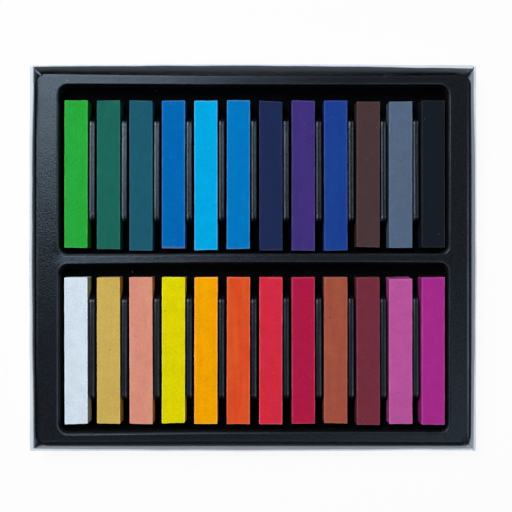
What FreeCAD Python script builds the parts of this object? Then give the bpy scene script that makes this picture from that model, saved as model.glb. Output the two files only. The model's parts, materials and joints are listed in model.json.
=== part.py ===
import FreeCAD, Part
import math
import os

import Sketcher
from FreeCAD import Placement, Rotation, Vector

# An open paperboard tray with a vacuum-formed insert that keeps 24 square pastel sticks in two rows.
# Millimetres and degrees. +X runs along the rows, +Y from the front row to the back row, +Z up.
# The origin is the middle of the tray's underside.

# ---------------------------------------------------------------- driving dimensions

SIZES = {
    # tray: folded paperboard whose walls roll over a rounded rim and stand inside again
    "tray_length": 192.8,
    "tray_width": 166.2,
    "tray_height": 16.2,
    "board": 0.4,
    "wall": 1.25,
    "tuck_gap": 0.15,
    "rim_seam": 0.15,
    "flap_length": 24.0,
    "fold_radius": 0.5,
    # insert: one formed sheet that stands on the tray's base
    "sheet": 0.5,
    "deck_length": 188.7,
    "deck_width": 161.2,
    "deck_radius": 4.6,
    "deck_level": 12.0,
    "deck_bevel": 0.8,
    "skirt_flare": 2.5,
    "tool_plate": 2.0,
    # its two compartments
    "cup_length": 171.1,
    "cup_width": 74.5,
    "cup_radius": 4.0,
    "cup_draft": 5.0,
    "cup_pitch": 78.0,
    "lip_round": 0.9,
    "floor_bevel": 0.4,
    # its ridges, one between two neighbouring sticks
    "ridge_foot": 3.7,
    "ridge_crest": 2.3,
    "ridge_length": 52.0,
    "crest_length": 42.4,
    "ridge_height": 9.7,
    "ridge_corner": 0.8,
    "crest_bevel": 0.35,
    # sticks
    "stick_pitch": 14.2,
    "stick_side": 10.2,
    "stick_bevel": 0.3,
    "back_row_end": 69.3,
    "front_row_end": -8.0,
}

RIDGES = 11  # in each compartment
NEAR = 1e-4

# The sticks of each row from left to right, with the length that each one broke or was cut to.
BACK_ROW = {
    "green": 64.8, "dark_green": 65.4, "dark_teal": 66.0, "blue": 65.2,
    "cyan": 65.8, "mid_blue": 65.3, "navy": 65.9, "violet": 66.0,
    "ultramarine": 66.0, "umber": 64.6, "grey": 64.8, "black": 64.7,
}
FRONT_ROW = {
    "white": 64.7, "ochre": 64.5, "salmon": 64.6, "yellow": 64.3,
    "amber": 64.5, "orange": 64.6, "red": 64.7, "crimson": 64.4,
    "sienna": 64.3, "maroon": 65.0, "pink": 64.6, "magenta": 64.9,
}

doc = FreeCAD.newDocument("PastelBox")
sheet = doc.addObject("Spreadsheet::Sheet", "Sizes")


def fill_sheet():
    """One row per dimension: its name in column A and its value, under that alias, in column B."""
    stick_lengths = {"length_" + name: value for name, value in (BACK_ROW | FRONT_ROW).items()}
    for row, (name, value) in enumerate((SIZES | stick_lengths).items(), start=1):
        sheet.set("A%d" % row, name)
        sheet.set("B%d" % row, str(value))
        sheet.setAlias("B%d" % row, name)
    doc.recompute()


# ---------------------------------------------------------------- helpers


def size(name):
    return float(sheet.get(name))


def evaluate(formula):
    """The number that a formula over the sheet's cells gives."""
    return float(sheet.evalExpression(formula))


def origin_feature(body, role):
    return next(item for item in body.Origin.OriginFeatures if item.Role == role)


def sketch_on(body, name, role, offset=None):
    """A sketch on one of the body's own origin planes, raised along its normal by a formula."""
    sketch = body.newObject("Sketcher::SketchObject", name)
    sketch.AttachmentSupport = [(origin_feature(body, role), "")]
    sketch.MapMode = "FlatFace"
    for axis, formula in (offset or {}).items():
        sketch.setExpression("AttachmentOffset.Base." + axis, formula)
    return sketch


def drive(sketch, constraint, name, formula):
    """Adds a dimension to a sketch, gives it a name and ties its value to the sheet."""
    index = sketch.addConstraint(Sketcher.Constraint(*constraint, evaluate(formula)))
    sketch.renameConstraint(index, name)
    sketch.setExpression("Constraints." + name, formula)


def rounded_rectangle(sketch, length, width, radius):
    """A rectangle about the sketch's origin with four round corners. The sizes are formulas."""
    half_x, half_y, corner = evaluate(length) / 2, evaluate(width) / 2, evaluate(radius)
    core_x, core_y = half_x - corner, half_y - corner
    sides = [
        (Vector(half_x, -core_y), Vector(half_x, core_y)),
        (Vector(core_x, half_y), Vector(-core_x, half_y)),
        (Vector(-half_x, core_y), Vector(-half_x, -core_y)),
        (Vector(-core_x, -half_y), Vector(core_x, -half_y)),
    ]
    right, top, left, bottom = lines = [sketch.addGeometry(Part.LineSegment(*ends)) for ends in sides]
    arcs = []
    for quarter, (sign_x, sign_y) in enumerate(((1, 1), (-1, 1), (-1, -1), (1, -1))):
        circle = Part.Circle(Vector(sign_x * core_x, sign_y * core_y), Vector(0, 0, 1), corner)
        start = quarter * math.pi / 2
        arcs.append(sketch.addGeometry(Part.ArcOfCircle(circle, start, start + math.pi / 2)))
    for quarter, arc in enumerate(arcs):
        sketch.addConstraint(Sketcher.Constraint("Tangent", lines[quarter], 2, arc, 1))
        sketch.addConstraint(Sketcher.Constraint("Tangent", arc, 2, lines[(quarter + 1) % 4], 1))
    for line in (right, left):
        sketch.addConstraint(Sketcher.Constraint("Vertical", line))
    for line in (top, bottom):
        sketch.addConstraint(Sketcher.Constraint("Horizontal", line))
    for arc in arcs[1:3]:
        sketch.addConstraint(Sketcher.Constraint("Equal", arcs[0], arc))
    sketch.addConstraint(Sketcher.Constraint("Symmetric", arcs[0], 3, arcs[2], 3, -1, 1))
    drive(sketch, ("DistanceX", left, 1, right, 1), "length", length)
    drive(sketch, ("DistanceY", bottom, 1, top, 1), "width", width)
    drive(sketch, ("Radius", arcs[0]), "radius", radius)


def rectangle(sketch, length, width):
    """A rectangle about the sketch's origin. The sizes are formulas."""
    half_x, half_y = evaluate(length) / 2, evaluate(width) / 2
    signs = ((1, -1), (1, 1), (-1, 1), (-1, -1))
    corners = [Vector(sign_x * half_x, sign_y * half_y) for sign_x, sign_y in signs]
    lines = [sketch.addGeometry(Part.LineSegment(corners[k], corners[(k + 1) % 4])) for k in range(4)]
    for k in range(4):
        sketch.addConstraint(Sketcher.Constraint("Coincident", lines[k], 2, lines[(k + 1) % 4], 1))
        sketch.addConstraint(Sketcher.Constraint("Horizontal" if k % 2 else "Vertical", lines[k]))
    sketch.addConstraint(Sketcher.Constraint("Symmetric", lines[0], 1, lines[2], 1, -1, 1))
    drive(sketch, ("DistanceX", lines[3], 1, lines[3], 2), "length", length)
    drive(sketch, ("DistanceY", lines[0], 1, lines[0], 2), "width", width)


def pad(body, name, sketch, length, taper=None, symmetric=False):
    feature = body.newObject("PartDesign::Pad", name)
    feature.Profile = sketch
    feature.SideType = "Symmetric" if symmetric else "One side"
    feature.setExpression("Length", length)
    if taper:
        feature.setExpression("TaperAngle", taper)
    sketch.Visibility = False
    return feature


def mirror(body, name, feature, role):
    twin = body.newObject("PartDesign::Mirrored", name)
    twin.Originals = [feature]
    twin.MirrorPlane = (origin_feature(body, role), [""])
    body.Tip = twin
    return twin


def soften(body, name, kind, amount, test):
    """Fillets or chamfers those edges of the body so far whose bounding box passes the test."""
    doc.recompute()
    base = body.Tip
    chosen = ["Edge%d" % (k + 1) for k, edge in enumerate(base.Shape.Edges) if test(edge.BoundBox)]
    feature = body.newObject("PartDesign::" + kind, name)
    feature.Base = (base, chosen)
    feature.setExpression({"Fillet": "Radius", "Chamfer": "Size"}[kind], amount)
    return feature


# ---------------------------------------------------------------- the folded paperboard tray


def hairpin(sketch, outer_face):
    """A wall's section: up the outer ply, over the half-round rim and down the inner ply.

    The inner ply ends at its raw edge, just over the base. Only the left wall is drawn, and outer_face
    is the formula of its outer face's distance from the middle.
    """
    face, board, wall = -evaluate(outer_face), size("board"), size("wall")
    inner_face = face + wall
    radius = wall / 2
    spring = size("tray_height") - radius
    raw = board + size("tuck_gap")
    centre = Vector(face + radius, spring)

    def line(start_x, start_z, end_x, end_z):
        return sketch.addGeometry(Part.LineSegment(Vector(start_x, start_z), Vector(end_x, end_z)))

    def half_round(radius):
        circle = Part.Circle(centre, Vector(0, 0, 1), radius)
        return sketch.addGeometry(Part.ArcOfCircle(circle, 0, math.pi))

    outer = line(face, 0, face, spring)
    rim = half_round(radius)
    inner = line(inner_face, spring, inner_face, raw)
    edge = line(inner_face, raw, inner_face - board, raw)
    back = line(inner_face - board, raw, inner_face - board, spring)
    crease = half_round(radius - board)
    down = line(face + board, spring, face + board, 0)
    foot = line(face + board, 0, face, 0)
    for joint in ((outer, 2, rim, 2), (rim, 1, inner, 1), (back, 2, crease, 1), (crease, 2, down, 1)):
        sketch.addConstraint(Sketcher.Constraint("Tangent", *joint))
    for joint in ((inner, 2, edge, 1), (edge, 2, back, 1), (down, 2, foot, 1), (foot, 2, outer, 1)):
        sketch.addConstraint(Sketcher.Constraint("Coincident", *joint))
    sketch.addConstraint(Sketcher.Constraint("Coincident", rim, 3, crease, 3))
    for upright in (outer, inner, back, down):
        sketch.addConstraint(Sketcher.Constraint("Vertical", upright))
    for level in (edge, foot):
        sketch.addConstraint(Sketcher.Constraint("Horizontal", level))
    sketch.addConstraint(Sketcher.Constraint("PointOnObject", outer, 1, -1))
    drive(sketch, ("DistanceX", outer, 1, -1, 1), "face", outer_face)
    drive(sketch, ("DistanceX", foot, 2, foot, 1), "board", "Sizes.board")
    drive(sketch, ("DistanceX", outer, 1, inner, 2), "wall", "Sizes.wall")
    drive(sketch, ("DistanceY", outer, 1, outer, 2), "spring", "Sizes.tray_height - Sizes.wall / 2")
    drive(sketch, ("DistanceY", -1, 1, inner, 2), "raw_edge", "Sizes.board + Sizes.tuck_gap")


def make_tray():
    body = doc.addObject("PartDesign::Body", "Tray")
    body.Label = "carton"

    outline = sketch_on(body, "BaseOutline", "XY_Plane")
    rectangle(outline, "Sizes.tray_length", "Sizes.tray_width")
    pad(body, "Base", outline, "Sizes.board")

    # The left and right walls run right through, so their rims end in the front and back faces.
    side = sketch_on(body, "SideWallSection", "XZ_Plane")
    hairpin(side, "Sizes.tray_length / 2")
    left = pad(body, "LeftWall", side, "Sizes.tray_width", symmetric=True)
    doc.recompute()
    mirror(body, "RightWall", left, "YZ_Plane")

    # The front and back walls stand between them, with a seam where their rims butt.
    end = sketch_on(body, "FrontWallSection", "YZ_Plane")
    hairpin(end, "Sizes.tray_width / 2")
    span = "Sizes.tray_length - 2 * (Sizes.wall + Sizes.rim_seam)"
    front = pad(body, "FrontWall", end, span, symmetric=True)
    doc.recompute()
    mirror(body, "BackWall", front, "XZ_Plane")

    # Their outer plies reach the side walls' outer plies under the side rims.
    close = body.newObject("PartDesign::AdditiveBox", "FrontPly")
    close.AttachmentSupport = [(origin_feature(body, "XY_Plane"), "")]
    close.MapMode = "FlatFace"
    close.setExpression("Length", "Sizes.tray_length - Sizes.board")
    close.setExpression("Width", "Sizes.board")
    close.setExpression("Height", "Sizes.tray_height - Sizes.wall / 2")
    close.setExpression("AttachmentOffset.Base.x", "(Sizes.board - Sizes.tray_length) / 2")
    close.setExpression("AttachmentOffset.Base.y", "-Sizes.tray_width / 2")
    doc.recompute()
    mirror(body, "BackPly", close, "XZ_Plane")

    # At each corner a glued flap turns back from that ply, between the side wall's two plies.
    flap = body.newObject("PartDesign::AdditiveBox", "CornerFlap")
    flap.AttachmentSupport = [(origin_feature(body, "XY_Plane"), "")]
    flap.MapMode = "FlatFace"
    flap.setExpression("Length", "Sizes.board")
    flap.setExpression("Width", "Sizes.flap_length")
    flap.setExpression("Height", "Sizes.tray_height - Sizes.wall")
    flap.setExpression("AttachmentOffset.Base.x", "Sizes.board - Sizes.tray_length / 2")
    flap.setExpression("AttachmentOffset.Base.y", "-Sizes.tray_width / 2")
    doc.recompute()
    corners = body.newObject("PartDesign::MultiTransform", "CornerFlaps")
    corners.Originals = [flap]
    across = body.newObject("PartDesign::Mirrored", "FlapAcross")
    across.MirrorPlane = (origin_feature(body, "YZ_Plane"), [""])
    along = body.newObject("PartDesign::Mirrored", "FlapAlong")
    along.MirrorPlane = (origin_feature(body, "XZ_Plane"), [""])
    corners.Transformations = [across, along]
    body.Tip = corners

    # The folds along the base are rounded.
    half_x, half_y = size("tray_length") / 2, size("tray_width") / 2

    def outer_fold(box):
        on_side = abs(abs(box.Center.x) - half_x) < NEAR and box.YLength > half_y
        on_end = abs(abs(box.Center.y) - half_y) < NEAR and box.XLength > half_x
        return box.ZMax < NEAR and (on_side or on_end)

    soften(body, "Folds", "Fillet", "Sizes.fold_radius", outer_fold)
    return body


# ---------------------------------------------------------------- the vacuum-formed insert


def ridge(body, name, inset):
    """The leftmost ridge of the back compartment, as a wedge with drafted flanks and ends.

    inset is how far the sheet's face lies inside the upper face, as a formula. Measured level, that is
    a little more on a leaning flank, and the foot is wider because the wedge starts lower.
    """
    flank = "((Sizes.ridge_foot - Sizes.ridge_crest) / 2 / Sizes.ridge_height)"
    slope = "((Sizes.ridge_length - Sizes.crest_length) / 2 / Sizes.ridge_height)"
    low, high = "(0 - %s)" % inset, "(Sizes.ridge_height - %s)" % inset

    def half(foot, lean, height):
        """Half of the wedge's size at a height over the upper face of the compartment's floor."""
        return "Sizes.%s / 2 - %s * %s - %s * sqrt(1 + %s ^ 2)" % (foot, height, lean, inset, lean)

    wedge = body.newObject("PartDesign::AdditiveWedge", name)
    wedge.AttachmentSupport = [(origin_feature(body, "XY_Plane"), "")]
    wedge.MapMode = "FlatFace"
    wedge.AttachmentOffset = Placement(Vector(), Rotation(Vector(1, 0, 0), 90))
    wedge.setExpression("AttachmentOffset.Base.x", "-%d * Sizes.stick_pitch" % (RIDGES // 2))
    wedge.setExpression("AttachmentOffset.Base.y", "Sizes.cup_pitch / 2")
    wedge.setExpression("AttachmentOffset.Base.z", "Sizes.board + Sizes.sheet")
    wedge.setExpression("Ymin", low)
    wedge.setExpression("Ymax", high)
    for axis, foot, lean in (("X", "ridge_foot", flank), ("Z", "ridge_length", slope)):
        for end, height in (("", low), ("2", high)):
            wedge.setExpression(axis + end + "max", half(foot, lean, height))
            wedge.setExpression(axis + end + "min", "-(%s)" % half(foot, lean, height))
    doc.recompute()
    return wedge


def repeat_ridges(body, name, original):
    """Eleven ridges along a compartment, and the same again in the other one."""
    rows = body.newObject("PartDesign::LinearPattern", name)
    rows.Originals = [original]
    rows.Direction = (origin_feature(body, "X_Axis"), [""])
    rows.setExpression("Length", "%d * Sizes.stick_pitch" % (RIDGES - 1))
    rows.Occurrences = RIDGES
    rows.Direction2 = (origin_feature(body, "Y_Axis"), [""])
    rows.Reversed2 = True
    rows.setExpression("Length2", "Sizes.cup_pitch")
    rows.Occurrences2 = 2
    body.Tip = rows
    doc.recompute()
    return rows


def formed_side(name, inset, foot, lip_kind):
    """One side of the formed sheet, as a solid from the deck down to a level called its foot.

    The upper side has an inset of 0, and the underside lies one sheet's thickness inside it. Measured
    level, a drafted wall that starts lower lies inset * (1 / cos - tan) further in. The deck's outer
    edge and the compartments' lips turn tighter on the underside, and the bevel round the floor wider.
    """
    body = doc.addObject("PartDesign::Body", name)
    flare, draft = "Sizes.skirt_flare", "Sizes.cup_draft"
    level_inset = "%s * (1 / cos(%s) - tan(%s))"
    skirt_in, wall_in = level_inset % (inset, flare, flare), level_inset % (inset, draft, draft)
    deck = "Sizes.deck_level - %s" % inset

    # The deck's outline, from which the skirt flares as it goes down.
    outline = sketch_on(body, name + "Deck", "XY_Plane", {"z": deck})
    rounded_rectangle(
        outline,
        "Sizes.deck_length - 2 * %s" % skirt_in,
        "Sizes.deck_width - 2 * %s" % skirt_in,
        "Sizes.deck_radius - %s" % skirt_in,
    )
    block = pad(body, name + "Block", outline, "%s - (%s)" % (deck, foot), taper=flare)
    block.Reversed = True

    # A compartment's mouth, from which its walls lean in as they go down.
    mouth = sketch_on(body, name + "Mouth", "XY_Plane", {"y": "Sizes.cup_pitch / 2", "z": deck})
    rounded_rectangle(
        mouth,
        "Sizes.cup_length + 2 * %s" % wall_in,
        "Sizes.cup_width + 2 * %s" % wall_in,
        "Sizes.cup_radius + %s" % wall_in,
    )
    cup = body.newObject("PartDesign::Pocket", name + "Cup")
    cup.Profile = mouth
    cup.setExpression("Length", "Sizes.deck_level - Sizes.board - Sizes.sheet")
    cup.setExpression("TaperAngle", "-" + draft)
    mouth.Visibility = False
    doc.recompute()
    if cup.Shape.Volume > block.Shape.Volume - 1:
        raise RuntimeError(name + ": the compartment cuts nothing")
    mirror(body, name + "Cups", cup, "XZ_Plane")

    top, floor = evaluate(deck), evaluate("Sizes.board + Sizes.sheet - %s" % inset)
    cups_x, cups_y = size("cup_length") / 2 + 1, (size("cup_pitch") + size("cup_width")) / 2 + 1

    def on_deck(box):
        return box.ZMin > top - NEAR

    def beside_cups(box):
        return max(abs(box.XMin), abs(box.XMax)) > cups_x or max(abs(box.YMin), abs(box.YMax)) > cups_y

    def on_floor(box):
        return abs(box.ZMin - floor) < NEAR and abs(box.ZMax - floor) < NEAR and not beside_cups(box)

    lip = "Sizes.lip_round - %s" % inset
    bevel_change = "(2 - sqrt(2)) * %s" % inset
    deck_bevel = "Sizes.deck_bevel - " + bevel_change
    floor_bevel = "Sizes.floor_bevel + " + bevel_change
    soften(body, name + "DeckEdge", "Chamfer", deck_bevel, lambda box: on_deck(box) and beside_cups(box))
    soften(body, name + "Lips", lip_kind, lip, lambda box: on_deck(box) and not beside_cups(box))
    soften(body, name + "FloorBevel", "Chamfer", floor_bevel, on_floor)
    return body


def make_insert():
    """The sheet is what its upper side encloses and the forming tool under it leaves out."""
    upper = formed_side("Upper", "0", "Sizes.board", "Fillet")
    under = formed_side("Under", "Sizes.sheet", "Sizes.board - Sizes.tool_plate", "Chamfer")
    first_x, first_y = -(RIDGES // 2) * size("stick_pitch"), size("cup_pitch") / 2
    floor, crest = size("board") + size("sheet"), size("board") + size("sheet") + size("ridge_height")

    def on_first_ridge(box):
        narrow = abs(box.Center.x - first_x) < size("ridge_foot") and box.XLength < size("ridge_foot")
        return narrow and abs(box.Center.y - first_y) < size("ridge_length")

    def is_corner(box):
        return on_first_ridge(box) and box.ZMin < floor + NEAR and box.ZMax > crest - NEAR

    def is_crest_edge(box):
        return on_first_ridge(box) and abs(box.ZMin - crest) < NEAR and abs(box.ZMax - crest) < NEAR

    ridge(upper, "UpperRidge", "0")
    corners = soften(upper, "RidgeCorners", "Fillet", "Sizes.ridge_corner", is_corner)
    crests = soften(upper, "RidgeCrest", "Chamfer", "Sizes.crest_bevel", is_crest_edge)
    for feature in (corners, crests):
        feature.SupportTransform = True
    doc.recompute()
    repeat_ridges(upper, "UpperRidges", crests)
    repeat_ridges(under, "UnderRidges", ridge(under, "UnderRidge", "Sizes.sheet"))

    insert = doc.addObject("Part::Cut", "Insert")
    insert.Label = "insert"
    insert.Base = upper
    insert.Tool = under
    return insert


# ---------------------------------------------------------------- the sticks


def make_stick(name, place, row_end, row_name):
    """A bevelled square bar, centred between two ridges and laid up to its row's end line."""
    body = doc.addObject("PartDesign::Body", row_name + name.title().replace("_", ""))
    body.Label = "stick_" + name
    bar = body.newObject("PartDesign::AdditiveBox", body.Name + "Bar")
    bar.setExpression("Length", "Sizes.stick_side")
    bar.setExpression("Width", "Sizes.length_" + name)
    bar.setExpression("Height", "Sizes.stick_side")
    doc.recompute()
    bevel = body.newObject("PartDesign::Chamfer", body.Name + "Bevel")
    bevel.Base = (bar, [""])
    bevel.UseAllEdges = True
    bevel.setExpression("Size", "Sizes.stick_bevel")
    body.setExpression("Placement.Base.x", "%g * Sizes.stick_pitch - Sizes.stick_side / 2" % place)
    body.setExpression("Placement.Base.y", "Sizes.%s - Sizes.length_%s" % (row_end, name))
    body.setExpression("Placement.Base.z", "Sizes.board + Sizes.sheet")
    return body


def make_sticks():
    sticks = []
    for row_name, row in (("Back", BACK_ROW), ("Front", FRONT_ROW)):
        for number, name in enumerate(row):
            sticks.append(make_stick(name, number - RIDGES / 2, row_name.lower() + "_row_end", row_name))
    return sticks


# ---------------------------------------------------------------- check and write

fill_sheet()
parts = [make_tray(), make_insert()] + make_sticks()
doc.recompute()

for item in doc.Objects:
    if "Invalid" in item.State or "Error" in item.State:
        raise RuntimeError("%s did not recompute: %s" % (item.Name, item.State))
for part in parts:
    if part.Shape.isNull() or not part.Shape.isValid() or len(part.Shape.Solids) != 1:
        raise RuntimeError("%s has no single valid solid" % part.Label)

os.makedirs("parts", exist_ok=True)
for part in parts:
    part.Shape.exportStep("parts/%s.step" % part.Label)
    print("%-18s %9.1f mm3" % (part.Label, part.Shape.Volume))
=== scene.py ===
import json
import math

import bpy
import numpy as np
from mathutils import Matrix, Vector
from mathutils.geometry import delaunay_2d_cdt


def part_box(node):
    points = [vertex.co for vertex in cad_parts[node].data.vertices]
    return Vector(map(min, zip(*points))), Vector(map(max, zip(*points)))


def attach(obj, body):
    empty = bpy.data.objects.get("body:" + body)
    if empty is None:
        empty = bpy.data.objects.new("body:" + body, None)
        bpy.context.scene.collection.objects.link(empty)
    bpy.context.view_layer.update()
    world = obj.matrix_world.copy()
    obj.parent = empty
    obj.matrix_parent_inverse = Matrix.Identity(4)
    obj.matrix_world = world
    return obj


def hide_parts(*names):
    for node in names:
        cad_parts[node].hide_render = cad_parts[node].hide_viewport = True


# A paperboard tray of soft pastels in a black vacuum-formed insert, built around its CAD frame.
# Shapes are worked out in millimetres, as in the CAD source, and become metres when a mesh is made.

MM = 0.001

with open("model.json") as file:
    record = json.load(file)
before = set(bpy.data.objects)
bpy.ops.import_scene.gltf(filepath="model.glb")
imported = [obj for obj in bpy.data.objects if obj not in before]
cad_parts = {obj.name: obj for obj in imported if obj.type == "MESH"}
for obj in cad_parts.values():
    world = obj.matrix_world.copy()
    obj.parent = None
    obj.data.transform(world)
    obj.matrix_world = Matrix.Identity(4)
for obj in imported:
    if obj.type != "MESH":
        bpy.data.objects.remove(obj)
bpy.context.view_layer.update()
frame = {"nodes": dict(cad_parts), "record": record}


def box_mm(node):
    """The lowest and highest corner of a CAD node, in millimetres."""
    return [np.array(corner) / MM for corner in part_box(node)]


# ---------------------------------------------------------------- sizes

TRAY_HIGH = box_mm("carton")[1]
BOARD = 0.4
WALL = 1.25
FOLD = 0.5
TUCK = 0.15  # between the inner plies' raw edges and the base
RIM_SEAM = 0.15

SHEET = 0.5
INSERT_FOOT, INSERT_TOP = (corner[2] for corner in box_mm("insert"))
# The deck's right, far, left and near sides: how far from the origin its skirt starts, how wide the
# shoulder over it is, and how far the deck turns up just before the shoulder.
DECK_SIDES = ((95.3, 1.2, 0.12), (80.95, 0.5, 0.0), (95.1, 0.5, 0.0), (81.9, 1.9, 0.02))
UPTURN = 0.6  # the share more that the sides turn up at their near ends, and less at their far ends
DECK_RADIUS = 5.2
SKIRT_FLARE = math.radians(0.7)
CUP_MIDDLE = 0.2
CUP_HALF = np.array([85.2, 37.05])
CUP_RADIUS = 4.0
CUP_DRAFT = math.radians(5)
CUP_PITCH = 78.0
CUP_SHIFT = 0.05  # how far both compartments stand towards +Y
# How round a compartment's lip and its floor's edge are, on the right, far, left and near sides.
LIP_ROUNDS = (1.1, 0.35, 0.9, 1.1)
FLOOR_ROUNDS = (1.2, 5.0, 1.2, 1.2)
FLOOR_TOP = BOARD + SHEET

STICK_PITCH = 14.2
RIDGES = 11
RIDGE_HEIGHT = 9.7
RIDGE_SHIFT = 0.4  # how far the ridges stand to the right of the slots' even spacing
RIDGE_FLANK = (1.6, 1.2)  # half of its width at the foot and at the crest
RIDGE_END = (26.0, 21.2)  # half of its length at the foot and at the crest
STICK_SHIFT = 0.7  # how far the sticks do

# ---------------------------------------------------------------- shapes


WAVE_COUNT = 9
WAVE_LENGTHS = (0.7, 1.5)  # the shortest and longest waves, as shares of the length asked for
WAVE_REACH = 1.6  # brings most of a field's values between -1 and 1


def waves(points, length, seed):
    """A smooth random field, mostly between -1 and 1, with waves of about that length."""
    draw = np.random.default_rng(seed)
    directions = draw.normal(size=(WAVE_COUNT, 3))
    directions /= np.linalg.norm(directions, axis=1, keepdims=True)
    rates = 2 * math.pi / (length * draw.uniform(*WAVE_LENGTHS, WAVE_COUNT))
    phases = draw.uniform(0, 2 * math.pi, WAVE_COUNT)
    field = np.sin(points @ (directions * rates[:, None]).T + phases).mean(axis=1)
    return field * math.sqrt(WAVE_COUNT) / WAVE_REACH


def ease(value, start, end):
    """0 before start and 1 after end, with a smooth step between them."""
    share = np.clip((np.asarray(value, float) - start) / (end - start), 0, 1)
    return share * share * (3 - 2 * share)


def rounded_profile(corners, radii, arc_steps, straight_steps):
    """Points along a polyline whose inner corners are rounded to these radii."""
    corners = [np.array(corner, float) for corner in corners]
    points = [corners[0]]

    def straight_to(end):
        start = points[-1]
        if not np.allclose(start, end):
            steps = range(1, straight_steps + 1)
            points.extend(start + (end - start) * k / straight_steps for k in steps)

    for before, corner, after, radius in zip(corners, corners[1:], corners[2:], radii):
        arrive = (corner - before) / np.linalg.norm(corner - before)
        leave = (after - corner) / np.linalg.norm(after - corner)
        turn = math.atan2(arrive[0] * leave[1] - arrive[1] * leave[0], arrive @ leave)
        start = corner - arrive * radius * math.tan(abs(turn) / 2)
        centre = start + np.array([-arrive[1], arrive[0]]) * math.copysign(radius, turn)
        straight_to(start)
        for step in range(1, arc_steps + 1):
            angle = turn * step / arc_steps
            spoke = start - centre
            points.append(centre + np.array([
                spoke[0] * math.cos(angle) - spoke[1] * math.sin(angle),
                spoke[0] * math.sin(angle) + spoke[1] * math.cos(angle),
            ]))
    straight_to(corners[-1])
    return np.array(points)


def smooth_line(at, knots, samples=200, reach=25):
    """A smooth curve near a few (place, value) knots, averaged over reach samples to both sides."""
    places, values = zip(*knots)
    fine = np.linspace(places[0], places[-1], samples)
    padded = np.pad(np.interp(fine, places, values), reach, mode="edge")
    width = 2 * reach + 1
    smooth = np.convolve(padded, np.ones(width) / width, mode="valid")
    return np.interp(at, fine, smooth)


def nearness(gap, place, width):
    """1 where a gap is at that place, and next to nothing two widths away from it."""
    return np.exp(-(((gap - place) / width) ** 2))


def rounded_ring(half, radius, corner_steps=8, side_steps=(40, 24)):
    """Points round a rounded rectangle, anticlockwise from the right side's upper end.

    The second array says which way its outline faces at each point.
    """
    core = np.asarray(half, float) - radius
    spots, facing = [], []
    for quarter, signs in enumerate(((1, 1), (-1, 1), (-1, -1), (1, -1))):
        angles = (quarter + np.linspace(0, 1, corner_steps + 1)) * math.pi / 2
        spokes = np.stack([np.cos(angles), np.sin(angles)], axis=1)
        spots.append(core * signs + radius * spokes)
        facing.append(spokes)
        steps = side_steps[quarter % 2]
        next_signs = ((-1, 1), (-1, -1), (1, -1), (1, 1))[quarter]
        end = core * next_signs + radius * spokes[-1]
        shares = np.arange(1, steps)[:, None] / steps
        spots.append(spots[-1][-1] + (end - spots[-1][-1]) * shares)
        facing.append(np.repeat(spokes[-1:], steps - 1, axis=0))
    return np.concatenate(spots), np.concatenate(facing)


class Sheet:
    """The points, in millimetres, and the faces of a mesh that is put together ring by ring."""

    def __init__(self):
        self.points = []
        self.faces = []

    def ring(self, spots, heights):
        first = len(self.points)
        heights = np.broadcast_to(heights, len(spots))
        self.points.extend((x, y, z) for (x, y), z in zip(spots, heights))
        return list(range(first, len(self.points)))

    def join(self, outer, inner):
        """Faces that look up or out between a ring and the next one inside or above it."""
        for k, (a, b) in enumerate(zip(outer, inner)):
            after = (k + 1) % len(outer)
            self.faces.append((a, outer[after], inner[after], b))

    def close_across(self, ring, far_right):
        """Faces over a ring that mirrors itself left to right, with no point in the middle."""
        count = len(ring)
        for k in range(count // 2 - 1):
            right, left = (far_right - k) % count, (far_right + 1 + k) % count
            self.faces.append((ring[left], ring[(left + 1) % count], ring[right - 1], ring[right]))

    def level(self, outer, holes, height, spacing):
        """Triangles of about that size over a level area between its outer ring and its holes."""
        rings = [outer] + holes
        border = [index for ring in rings for index in ring]
        owner = np.repeat(np.arange(len(rings)), [len(ring) for ring in rings])
        spots = [self.points[index][:2] for index in border]
        edges, first = [], 0
        for ring in rings:
            edges += [(first + k, first + (k + 1) % len(ring)) for k in range(len(ring))]
            first += len(ring)
        flat = np.array(spots)
        low, high = flat.min(axis=0), flat.max(axis=0)
        columns, rows = np.ceil((high - low) / spacing).astype(int)
        for column in range(1, columns):
            for row in range(1, rows):
                spot = low + (high - low) * (column / columns, row / rows)
                spot[0] += (row % 2 - 0.5) * spacing / 2
                if np.min(np.sum((flat - spot) ** 2, axis=1)) > (spacing / 2) ** 2:
                    spots.append(tuple(spot))
        spots = [Vector(spot) for spot in spots]
        made, _, triangles, sources, _, _ = delaunay_2d_cdt(spots, edges, [], 0, 1e-6)
        names, groups = [], []
        for place, source in zip(made, sources):
            known = [index for index in source if index < len(border)]
            names.append(border[known[0]] if known else len(self.points))
            groups.append(owner[known[0]] if known else -1)
            if not known:
                self.points.append((place.x, place.y, height))
        for triangle in triangles:
            within = {groups[corner] for corner in triangle}
            if not (len(within) == 1 and within.pop() > 0):
                middle = sum((made[corner] for corner in triangle), Vector((0, 0))) / 3
                if not any(inside(middle, flat[owner == hole]) for hole in range(1, len(rings))):
                    self.faces.append(tuple(names[corner] for corner in triangle))


def inside(spot, ring):
    """Whether a spot lies in a convex ring whose points go anticlockwise."""
    along = np.roll(ring, -1, axis=0) - ring
    away = np.array(spot) - ring
    return bool(np.all(along[:, 0] * away[:, 1] - along[:, 1] * away[:, 0] >= 0))


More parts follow.
